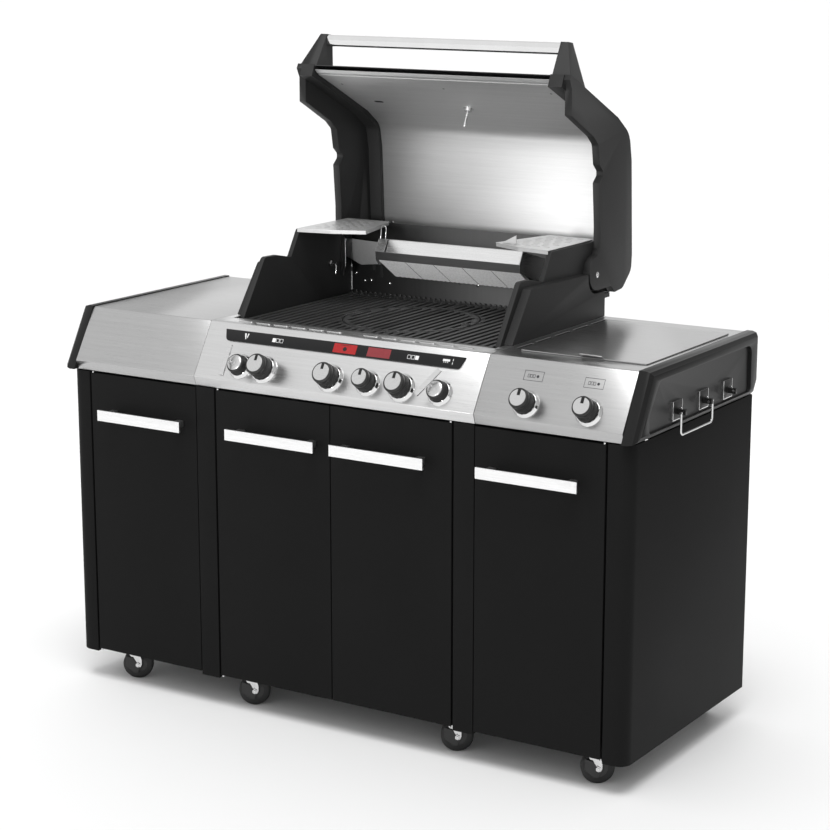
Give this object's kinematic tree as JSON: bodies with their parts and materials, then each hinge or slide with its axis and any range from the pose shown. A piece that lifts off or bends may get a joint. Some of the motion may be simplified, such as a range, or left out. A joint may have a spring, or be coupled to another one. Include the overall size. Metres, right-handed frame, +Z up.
{
  "type": "gas barbecue grill",
  "caption": "Freestanding gas grill on casters: black cabinet with doors, brushed steel worktop and sloping fascia, stepped cast firebox, open double-walled lid, flush side burner.",
  "frame": {"origin": "on the floor, under the middle of the whole object's box", "axes": "+X to the right seen from the front, +Y from the doors to the back, +Z up; the doors face -Y"},
  "size_m": [1.57, 0.7909, 1.578],
  "materials": {
    "powder_coat": "fine-textured black powder coat",
    "brushed_steel": "brushed stainless steel",
    "lid_enamel": "black enamel",
    "cast_anthracite": "cast, anthracite paint",
    "cast_iron": "matt enamelled cast iron",
    "chrome": "polished chrome",
    "black_glass": "gloss black with printed symbols",
    "knob_silver": "anthracite plastic with a satin silver face",
    "tyre_rubber": "black rubber tyre"
  },
  "bodies": {
    "cabinet": {"left_side_panel": "powder_coat", "right_side_panel": "powder_coat", "left_partition": "powder_coat", "right_partition": "powder_coat", "back_panel": "powder_coat", "base_panel": "powder_coat", "left_worktop": "brushed_steel", "right_worktop": "brushed_steel", "control_fascia": "brushed_steel", "control_strip": "black_glass", "left_end_cap": "cast_anthracite", "right_end_cap": "cast_anthracite", "side_burner": "cast_iron", "firebox_left_side": "cast_anthracite", "firebox_right_side": "cast_anthracite", "firebox_tub": "brushed_steel", "left_grate": "cast_iron", "right_grate": "cast_iron", "round_grate_insert": "cast_iron", "main_burners": "brushed_steel", "flame_tamers": "brushed_steel", "rear_burner": "brushed_steel", "left_warming_plate": "brushed_steel", "right_warming_plate": "brushed_steel"},
    "lid": {"lid_outer_skin": "lid_enamel", "lid_liner": "brushed_steel", "lid_left_side": "cast_anthracite", "lid_right_side": "cast_anthracite", "lid_handle": "chrome"},
    "side_burner_lid": {"side_burner_lid": "brushed_steel"},
    "wire_bail": {"wire_bail": "chrome"},
    "grease_tray": {"grease_tray": "brushed_steel"},
    "left_door": {"left_door": "powder_coat", "left_door_handle": "brushed_steel"},
    "centre_left_door": {"centre_left_door": "powder_coat", "centre_left_door_handle": "brushed_steel"},
    "centre_right_door": {"centre_right_door": "powder_coat", "centre_right_door_handle": "brushed_steel"},
    "right_door": {"right_door": "powder_coat", "right_door_handle": "brushed_steel"},
    "left_lever_knob": {"left_lever_knob": "knob_silver"},
    "left_burner_knob": {"left_burner_knob": "knob_silver"},
    "middle_burner_knob": {"middle_burner_knob": "knob_silver"},
    "rear_burner_knob": {"rear_burner_knob": "knob_silver"},
    "right_burner_knob": {"right_burner_knob": "knob_silver"},
    "right_lever_knob": {"right_lever_knob": "knob_silver"},
    "side_burner_front_knob": {"side_burner_front_knob": "knob_silver"},
    "side_burner_rear_knob": {"side_burner_rear_knob": "knob_silver"},
    "front_left_caster_fork": {"front_left_caster_fork": "chrome"},
    "front_left_caster_wheel": {"front_left_caster_wheel": "tyre_rubber"},
    "front_centre_left_caster_fork": {"front_centre_left_caster_fork": "chrome"},
    "front_centre_left_caster_wheel": {"front_centre_left_caster_wheel": "tyre_rubber"},
    "front_centre_right_caster_fork": {"front_centre_right_caster_fork": "chrome"},
    "front_centre_right_caster_wheel": {"front_centre_right_caster_wheel": "tyre_rubber"},
    "front_right_caster_fork": {"front_right_caster_fork": "chrome"},
    "front_right_caster_wheel": {"front_right_caster_wheel": "tyre_rubber"},
    "rear_left_caster_fork": {"rear_left_caster_fork": "chrome"},
    "rear_left_caster_wheel": {"rear_left_caster_wheel": "tyre_rubber"},
    "rear_right_caster_fork": {"rear_right_caster_fork": "chrome"},
    "rear_right_caster_wheel": {"rear_right_caster_wheel": "tyre_rubber"}
  },
  "joints": [
    {"name": "lid_hinge", "type": "hinge", "parent": "cabinet", "child": "lid", "pos_m": [-0.01, 0.21818, 1.034], "axis": [1, 0, 0], "range_deg": [0, 82]},
    {"name": "side_burner_lid_hinge", "type": "hinge", "parent": "cabinet", "child": "side_burner_lid", "pos_m": [0.562, 0.20018, 0.9299], "axis": [-1, 0, 0], "range_deg": [0, 95]},
    {"name": "wire_bail_hinge", "type": "hinge", "parent": "cabinet", "child": "wire_bail", "pos_m": [0.779, -0.09982, 0.825], "axis": [0, -1, 0], "range_deg": [0, 95]},
    {"name": "grease_tray_slide", "type": "slide", "parent": "cabinet", "child": "grease_tray", "axis": [0, 1, 0], "range_m": [0, 0.36]},
    {"name": "left_door_hinge", "type": "hinge", "parent": "cabinet", "child": "left_door", "pos_m": [-0.705, -0.34582, 0.43], "axis": [0, 0, -1], "range_deg": [0, 110]},
    {"name": "centre_left_door_hinge", "type": "hinge", "parent": "cabinet", "child": "centre_left_door", "pos_m": [-0.328, -0.34582, 0.43], "axis": [0, 0, -1], "range_deg": [0, 110]},
    {"name": "centre_right_door_hinge", "type": "hinge", "parent": "cabinet", "child": "centre_right_door", "pos_m": [0.308, -0.34582, 0.43], "axis": [0, 0, 1], "range_deg": [0, 110]},
    {"name": "right_door_hinge", "type": "hinge", "parent": "cabinet", "child": "right_door", "pos_m": [0.685, -0.34582, 0.43], "axis": [0, 0, 1], "range_deg": [0, 110]},
    {"name": "left_lever_knob_turn", "type": "hinge", "parent": "cabinet", "child": "left_lever_knob", "pos_m": [-0.267, -0.3369, 0.8398], "axis": [0, -0.8594, 0.5114], "range_deg": [-90, 0]},
    {"name": "left_burner_knob_turn", "type": "hinge", "parent": "cabinet", "child": "left_burner_knob", "pos_m": [-0.2, -0.3369, 0.8398], "axis": [0, -0.8594, 0.5114], "range_deg": [0, 220]},
    {"name": "middle_burner_knob_turn", "type": "hinge", "parent": "cabinet", "child": "middle_burner_knob", "pos_m": [-0.016, -0.3369, 0.8398], "axis": [0, -0.8594, 0.5114], "range_deg": [0, 220]},
    {"name": "rear_burner_knob_turn", "type": "hinge", "parent": "cabinet", "child": "rear_burner_knob", "pos_m": [0.086, -0.3369, 0.8398], "axis": [0, -0.8594, 0.5114], "range_deg": [0, 90]},
    {"name": "right_burner_knob_turn", "type": "hinge", "parent": "cabinet", "child": "right_burner_knob", "pos_m": [0.175, -0.3369, 0.8398], "axis": [0, -0.8594, 0.5114], "range_deg": [0, 220]},
    {"name": "right_lever_knob_turn", "type": "hinge", "parent": "cabinet", "child": "right_lever_knob", "pos_m": [0.275, -0.3369, 0.8398], "axis": [0, -0.8594, 0.5114], "range_deg": [-56, 34]},
    {"name": "side_burner_front_knob_turn", "type": "hinge", "parent": "cabinet", "child": "side_burner_front_knob", "pos_m": [0.49, -0.3369, 0.8398], "axis": [0, -0.8594, 0.5114], "range_deg": [0, 220]},
    {"name": "side_burner_rear_knob_turn", "type": "hinge", "parent": "cabinet", "child": "side_burner_rear_knob", "pos_m": [0.642, -0.3369, 0.8398], "axis": [0, -0.8594, 0.5114], "range_deg": [0, 220]},
    {"name": "front_left_caster_swivel", "type": "hinge", "parent": "cabinet", "child": "front_left_caster_fork", "pos_m": [-0.655, -0.29782, 0.09], "axis": [0, 0, 1], "continuous": true},
    {"name": "front_left_caster_spin", "type": "hinge", "parent": "front_left_caster_fork", "child": "front_left_caster_wheel", "pos_m": [-0.63823, -0.28692, 0.0375], "axis": [0.5446, -0.8387, 0], "continuous": true},
    {"name": "front_centre_left_caster_swivel", "type": "hinge", "parent": "cabinet", "child": "front_centre_left_caster_fork", "pos_m": [-0.295, -0.29782, 0.09], "axis": [0, 0, 1], "continuous": true},
    {"name": "front_centre_left_caster_spin", "type": "hinge", "parent": "front_centre_left_caster_fork", "child": "front_centre_left_caster_wheel", "pos_m": [-0.27823, -0.28692, 0.0375], "axis": [0.5446, -0.8387, 0], "continuous": true},
    {"name": "front_centre_right_caster_swivel", "type": "hinge", "parent": "cabinet", "child": "front_centre_right_caster_fork", "pos_m": [0.275, -0.29782, 0.09], "axis": [0, 0, 1], "continuous": true},
    {"name": "front_centre_right_caster_spin", "type": "hinge", "parent": "front_centre_right_caster_fork", "child": "front_centre_right_caster_wheel", "pos_m": [0.29177, -0.28692, 0.0375], "axis": [0.5446, -0.8387, 0], "continuous": true},
    {"name": "front_right_caster_swivel", "type": "hinge", "parent": "cabinet", "child": "front_right_caster_fork", "pos_m": [0.635, -0.29782, 0.09], "axis": [0, 0, 1], "continuous": true},
    {"name": "front_right_caster_spin", "type": "hinge", "parent": "front_right_caster_fork", "child": "front_right_caster_wheel", "pos_m": [0.65177, -0.28692, 0.0375], "axis": [0.5446, -0.8387, 0], "continuous": true},
    {"name": "rear_left_caster_swivel", "type": "hinge", "parent": "cabinet", "child": "rear_left_caster_fork", "pos_m": [-0.655, 0.21618, 0.09], "axis": [0, 0, 1], "continuous": true},
    {"name": "rear_left_caster_spin", "type": "hinge", "parent": "rear_left_caster_fork", "child": "rear_left_caster_wheel", "pos_m": [-0.63823, 0.22708, 0.0375], "axis": [0.5446, -0.8387, 0], "continuous": true},
    {"name": "rear_right_caster_swivel", "type": "hinge", "parent": "cabinet", "child": "rear_right_caster_fork", "pos_m": [0.635, 0.21618, 0.09], "axis": [0, 0, 1], "continuous": true},
    {"name": "rear_right_caster_spin", "type": "hinge", "parent": "rear_right_caster_fork", "child": "rear_right_caster_wheel", "pos_m": [0.65177, 0.22708, 0.0375], "axis": [0.5446, -0.8387, 0], "continuous": true}
  ]
}
